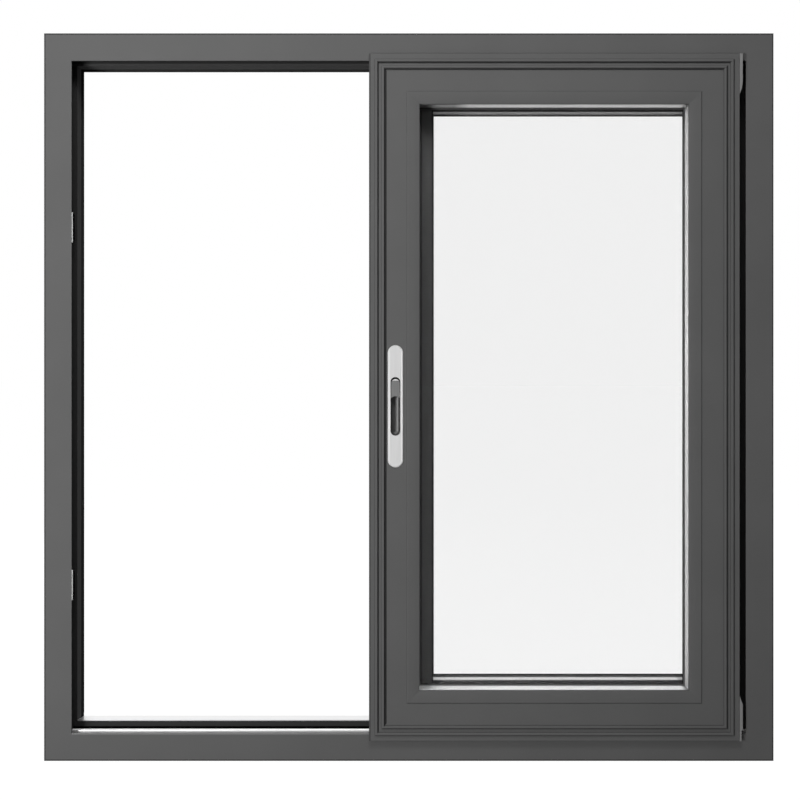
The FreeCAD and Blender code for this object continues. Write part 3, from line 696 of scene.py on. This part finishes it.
BUTYL_THICKNESS = 0.3 * MM
LIP_THICKNESS = 0.25 * MM
for unit, left_member, right_member, reach in (
    ("sash", "sash_left_stile", "sash_right_stile", 2.4 * MM),
    ("fixed", "fixed_meeting_stile", "fixed_right_stile", 2.0 * MM),
):
    leg_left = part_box(left_member)[1][0]
    leg_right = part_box(right_member)[0][0]
    leg_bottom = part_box(unit + "_bottom_rail")[1][2]
    leg_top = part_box(unit + "_top_rail")[0][2]
    leg_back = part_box(left_member)[1][1]
    pane_front, pane_back = (corner[1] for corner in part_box(unit + "_rear_pane"))
    flat_ring(
        unit + "_butyl_line",
        (leg_left - reach, leg_bottom - reach), (leg_right + reach, leg_top + reach),
        reach, pane_front - BUTYL_THICKNESS, pane_front, TRACK_RUBBER,
    )
    flat_ring(
        unit + "_wedge_lip", (leg_left, leg_bottom), (leg_right, leg_top),
        LIP_THICKNESS, pane_back, leg_back, TRACK_RUBBER,
    )

# %% [markdown]
# A few plain bars finish the window. Under the rear pane of the fixed light stands a taller
# wedge, and a strip of butyl lies on the front of its spacer. Each is a cube stretched
# between two corners, with its edges rounded, because a sharp edge never catches the
# light.


# %% Wedge and butyl strip of the fixed light
def rounded_bar(name, low, high, width, material, segments=2):
    """A bar between two opposite corners, with its edges rounded."""
    mesh = stretched_cube(low, high)
    bevel_sharp_edges(mesh, width, segments)
    return finish_piece(name, mesh, material)


WEDGE_HEIGHT = 1.9 * MM
SPACER_DROP = 2.0 * MM
BUTYL_HEIGHT = 1.3 * MM
OVERLAP = 0.1 * MM
light_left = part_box("fixed_meeting_stile")[1][0]
light_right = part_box("fixed_right_stile")[0][0]
_, leg_rear, leg_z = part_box("fixed_bottom_rail")[1]
rounded_bar(
    "fixed_bottom_wedge",
    (light_left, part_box("fixed_rear_pane")[1][1], leg_z - OVERLAP),
    (light_right, leg_rear, leg_z + WEDGE_HEIGHT),
    0.3 * MM, TRACK_RUBBER,
)

spacer_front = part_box("fixed_spacer")[0][1]
spacer_run = leg_z - SPACER_DROP
rounded_bar(
    "fixed_front_butyl",
    (light_left - SPACER_DROP, spacer_front, spacer_run - OVERLAP),
    (light_right + SPACER_DROP, spacer_front + BUTYL_THICKNESS, spacer_run + BUTYL_HEIGHT),
    0.1 * MM, TRACK_RUBBER,
)

# %% [markdown]
# A thin black lip along the rear edge of the open bay is painted shade: a dark strip where
# the rear edge lies in shade. It is sunk a little into the frame, so that no gap shows, and
# stands out by less than a millimetre: against a bright ground that is the dark outline
# which gives the reveal its end.

# %% Rear lips of painted shade in the open bay
LIP_DEPTH = 2.5 * MM
HEAD_LIP = 0.6 * MM
JAMB_LIP = 0.35 * MM
SUNK = 0.2 * MM
bay_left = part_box("frame_left_jamb")[1][0]
bay_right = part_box("fixed_meeting_stile")[0][0]
bay_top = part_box("frame_head")[0][2]
bay_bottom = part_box("sill_step_cover")[1][2]
# painted shade: black lips along the rear edge of the bay
rounded_bar(
    "head_rear_lip",
    (bay_left, back_y - LIP_DEPTH, bay_top - HEAD_LIP), (bay_right, back_y, bay_top + SUNK),
    0.1 * MM, TRACK_RUBBER,
)
rounded_bar(
    "jamb_rear_lip",
    (bay_left - SUNK, back_y - LIP_DEPTH, bay_bottom), (bay_left + JAMB_LIP, back_y, bay_top),
    0.1 * MM, TRACK_RUBBER,
)

# %% [markdown]
# Rain that gets into the track of such a window leaves on the outside of the sill. Two
# small rounded covers stand where the drain slots would be. The slots themselves aren't
# cut, because the covers hide them.

# %% Drain covers
DRAIN_X = 330.0 * MM
DRAIN_HALF = 18.0 * MM
DRAIN_BOTTOM = 14.0 * MM
DRAIN_TOP = 26.0 * MM
DRAIN_PROUD = 3.5 * MM
for side, drain_x in (("left", -DRAIN_X), ("right", DRAIN_X)):
    rounded_bar(
        side + "_drain_cover",
        (drain_x - DRAIN_HALF, back_y, DRAIN_BOTTOM),
        (drain_x + DRAIN_HALF, back_y + DRAIN_PROUD, DRAIN_TOP),
        1.5 * MM, BLACK_PLASTIC, segments=4,
    )

# %% [markdown]
# Black liners inside the keepers' slots are painted shade: a dark sheet where there is only
# shade, so the slots read as dark mouths with a thin silver edge. A liner is a cube whose
# mouth is inset by the wall and sunk almost to the back, after which the flat patch that
# closed the mouth is deleted.


# %% Keeper liners of painted shade
def open_tray(name, low, high, wall, material):
    """A thin five-sided liner that is open towards +X."""
    mesh = stretched_cube(low, high)
    mouth = max(mesh.faces, key=lambda face: face.calc_center_median().x)
    bmesh.ops.inset_individual(mesh, faces=[mouth], thickness=wall, use_even_offset=True)
    extrude_by(mesh, [mouth], (low[0] + wall - high[0], 0.0, 0.0))
    bmesh.ops.delete(mesh, geom=[mouth], context="FACES_ONLY")
    bevel_sharp_edges(mesh, wall * 0.2, 1)
    return finish_piece(name, mesh, material)


SLOT_CLEARANCE = 0.05 * MM
SLOT_DEPTH = 10.0 * MM
KEEPER_WALL = 1.5 * MM
KEEPER_END = 3.0 * MM
LINER_WALL = 0.5 * MM
# painted shade: a black liner in each keeper's slot
for keeper in ("upper_keeper", "lower_keeper"):
    low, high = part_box(keeper)
    middle = (low[2] + high[2]) / 2
    half = (high[2] - low[2]) / 2 - KEEPER_END - SLOT_CLEARANCE
    tray_low = (
        high[0] - SLOT_DEPTH + SLOT_CLEARANCE, low[1] + KEEPER_WALL + SLOT_CLEARANCE, middle - half
    )
    tray_high = (
        high[0] - SLOT_CLEARANCE, high[1] - KEEPER_WALL - SLOT_CLEARANCE, middle + half
    )
    open_tray(keeper + "_shade_liner", tray_low, tray_high, LINER_WALL, TRACK_RUBBER)

# %% [markdown]
# Behind the rail a black strip stands against the step of the sill, on the floor of the
# channel, where there is only shade: it is painted shade in the shape of a seal. It has one
# section all along, so a flat face in the shape of that section is extruded from one end of
# the rail to the other.


# %% Black strip of painted shade in the track
def sweep_along_x(name, section, start, end, width, material):
    """A strip along the window from a closed section of (depth, height) points."""
    mesh = bmesh.new()
    corners = [mesh.verts.new((start, depth, height)) for depth, height in section]
    cut_end = mesh.faces.new(corners)
    extrude_by(mesh, [cut_end], (end - start, 0.0, 0.0))
    bevel_sharp_edges(mesh, width)
    return finish_piece(name, mesh, material)


STEP_FRONT = -5.0 * MM
STRIP_FRONT = STEP_FRONT - 1.8 * MM
STRIP_TOP_FRONT = STEP_FRONT - 1.0 * MM
STRIP_SHOULDER = 7.3 * MM
STRIP_HEIGHT = 8.1 * MM
rail_low, rail_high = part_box("front_rail")
channel_floor = rail_low[2]
strip_section = [
    (STEP_FRONT, channel_floor),
    (STRIP_FRONT, channel_floor),
    (STRIP_FRONT, channel_floor + STRIP_SHOULDER),
    (STRIP_TOP_FRONT, channel_floor + STRIP_HEIGHT),
    (STEP_FRONT, channel_floor + STRIP_HEIGHT),
]
# painted shade: a black strip where the channel lies in shade
sweep_along_x(
    "sill_track_shade_strip", strip_section, rail_low[0], rail_high[0], 0.3 * MM,
    TRACK_RUBBER,
)

# %% [markdown]
# ## Studio
#
# A white floor and a white backdrop, and a dim room in front of the window. What the
# camera sees directly or through glass is plain white. A reflection sees white behind the
# window and the dimmer room before it. For the light that falls on matt surfaces the world
# is a faint grey, and soft lamps do the rest. A camera ray that has gone through a pane
# also counts as glossy, so a real reflection is told apart by its glossy depth.

# %% World
AMBIENT = 0.2
AMBIENT_BEHIND = 0.22
FRONT_ROOM = 0.1
ROOM_FADE = (-0.35, 0.05)
AMBIENT_FADE = (-0.2, 0.2)


def seen_directly(owner):
    """1 for camera, glossy and transmission rays before any matt surface, otherwise 0."""
    path = node(owner, "ShaderNodeLightPath")
    direct = path.outputs["Is Camera Ray"]
    for kind in ("Is Glossy Ray", "Is Transmission Ray"):
        direct = combine(owner, "MAXIMUM", direct, path.outputs[kind])
    first_part = combine(owner, "LESS_THAN", path.outputs["Diffuse Depth"], 0.5)
    return combine(owner, "MULTIPLY", direct, first_part)


def mirrored(owner):
    """1 for a ray that was reflected on its way, 0 for one that only went through glass."""
    path = node(owner, "ShaderNodeLightPath")
    return combine(owner, "GREATER_THAN", path.outputs["Glossy Depth"], 0.5)


def blend_values(owner, factor, low, high):
    """A number that goes from low to high as the factor goes from 0 to 1."""
    rest = combine(owner, "SUBTRACT", 1.0, factor)
    low_share = combine(owner, "MULTIPLY", rest, low)
    high_share = combine(owner, "MULTIPLY", factor, high)
    return combine(owner, "ADD", low_share, high_share)


world = bpy.data.worlds.new("white_studio")
bpy.context.scene.world = world
world.use_nodes = True
background = world.node_tree.nodes["Background"]
background.inputs["Color"].default_value = (*grey(1.0), 1.0)
heading = node(world, "ShaderNodeTexCoord")
compass = node(world, "ShaderNodeSeparateXYZ")
link(world, heading.outputs["Generated"], compass.inputs["Vector"])
to_the_back = compass.outputs["Y"]
room_seen = map_range(world, to_the_back, *ROOM_FADE, FRONT_ROOM, 1.0)
room_light = map_range(world, to_the_back, *AMBIENT_FADE, AMBIENT, AMBIENT_BEHIND)
shown = blend_values(world, mirrored(world), 1.0, room_seen)
strength = blend_values(world, seen_directly(world), room_light, shown)
link(world, strength, background.inputs["Strength"])
print("world:", world.name)

# %% [markdown]
# The floor is one big square. Seen directly it glows almost white, with a faint matt share
# on top that keeps the window's shadow. To all other rays it is a plain matt grey that
# doesn't glow. Its reflected glow fades towards the dim room, as the backdrop's does.

# %% Floor
FLOOR_HALF = 30.0
FLOOR_GLOW = 0.985
SHADOW_SHARE = 0.07
FLOOR_FADE = (-0.35, 0.0)
floor_mesh = bmesh.new()
bmesh.ops.create_grid(floor_mesh, x_segments=1, y_segments=1, size=FLOOR_HALF)
floor_data = bpy.data.meshes.new("studio_floor")
floor_mesh.to_mesh(floor_data)
floor_mesh.free()
floor = bpy.data.objects.new("studio_floor", floor_data)
bpy.context.scene.collection.objects.link(floor)

FLOOR_WHITE = new_material("floor_white", grey(0.3), 0.9, specular=0.0)
floor_fade = map_range(FLOOR_WHITE, object_axes(FLOOR_WHITE)[1], *FLOOR_FADE, FRONT_ROOM, FLOOR_GLOW)
floor_shown = blend_values(FLOOR_WHITE, mirrored(FLOOR_WHITE), FLOOR_GLOW, floor_fade)
glow = node(FLOOR_WHITE, "ShaderNodeEmission")
link(FLOOR_WHITE, floor_shown, glow.inputs["Strength"])
faint = node(FLOOR_WHITE, "ShaderNodeBsdfDiffuse")
faint.inputs["Color"].default_value = (*grey(SHADOW_SHARE), 1.0)
glow_and_shadow = node(FLOOR_WHITE, "ShaderNodeAddShader")
link(FLOOR_WHITE, faint.outputs[0], glow_and_shadow.inputs[0])
link(FLOOR_WHITE, glow.outputs[0], glow_and_shadow.inputs[1])
chosen = node(FLOOR_WHITE, "ShaderNodeMixShader")
link(FLOOR_WHITE, seen_directly(FLOOR_WHITE), chosen.inputs["Fac"])
link(FLOOR_WHITE, shader_of(FLOOR_WHITE).outputs[0], chosen.inputs[1])
link(FLOOR_WHITE, glow_and_shadow.outputs[0], chosen.inputs[2])
floor_output = FLOOR_WHITE.node_tree.nodes["Material Output"]
link(FLOOR_WHITE, chosen.outputs[0], floor_output.inputs["Surface"])
floor_data.materials.append(FLOOR_WHITE)
print("floor:", 2 * FLOOR_HALF, "m wide")

# %% [markdown]
# A lamp low on the left and one above the window make the tone of the face fall off
# smoothly from the upper left corner to the lower right one. A third lights the back, and
# a narrow one, level with the frame's depth, lights its right side without touching the
# front. Area lamps are used because their soft edge suits satin paint.


# %% Lamps
def soft_lamp(name, at, target, size, watts):
    """A square area lamp that faces a point."""
    data = bpy.data.lights.new(name, "AREA")
    data.shape = "SQUARE"
    data.size = size
    data.energy = watts
    lamp = bpy.data.objects.new(name, data)
    lamp.location = at
    lamp.rotation_euler = (Vector(target) - Vector(at)).to_track_quat("-Z", "Y").to_euler()
    bpy.context.scene.collection.objects.link(lamp)
    print("lamp:", name, watts, "W")


WIDE_LAMP = 0.9
NARROW_LAMP = 0.12
soft_lamp("left_lamp", (-1.6, -2.5, 0.5), (-1.2, 0.0, 1.0), WIDE_LAMP, 64.0)
soft_lamp("top_lamp", (0.0, -1.6, 2.5), (-1.4, 0.0, 1.6), WIDE_LAMP, 32.0)
soft_lamp("rear_lamp", (-2.2, 2.4, 0.9), (0.0, 0.0, 0.6), WIDE_LAMP, 40.0)
soft_lamp("right_lamp", (2.6, 0.0, 0.7), (0.6, 0.0, 0.6), NARROW_LAMP, 20.0)

# %% [markdown]
# ## Camera
#
# The window is seen almost square on, a little above its middle, from 2.3 m in front of
# its face. The verticals stay parallel, so the camera is level and its shift, not a tilt,
# puts the window in the middle of the picture.

# %% Camera
PICTURE = 800.0
FOCAL_PIXELS = 1403.6
HORIZON_PIXEL = 356.7
CENTRE_LINE_PIXEL = 404.0
SENSOR_MM = 36.0
CAMERA_AT = (-0.0079, -2.353, 0.665)
FAR_CLIP = 200.0
camera_data = bpy.data.cameras.new("camera")
camera_data.sensor_width = SENSOR_MM
camera_data.lens = FOCAL_PIXELS / PICTURE * SENSOR_MM
camera_data.shift_x = (PICTURE / 2 - CENTRE_LINE_PIXEL) / PICTURE
camera_data.shift_y = (HORIZON_PIXEL - PICTURE / 2) / PICTURE
camera_data.clip_end = FAR_CLIP
camera = bpy.data.objects.new("camera", camera_data)
camera.location = CAMERA_AT
camera.rotation_euler = (math.radians(90.0), 0.0, 0.0)
bpy.context.scene.collection.objects.link(camera)
bpy.context.scene.camera = camera
bpy.context.scene.view_settings.view_transform = "Standard"
print("camera:", round(camera_data.lens, 1), "mm lens")
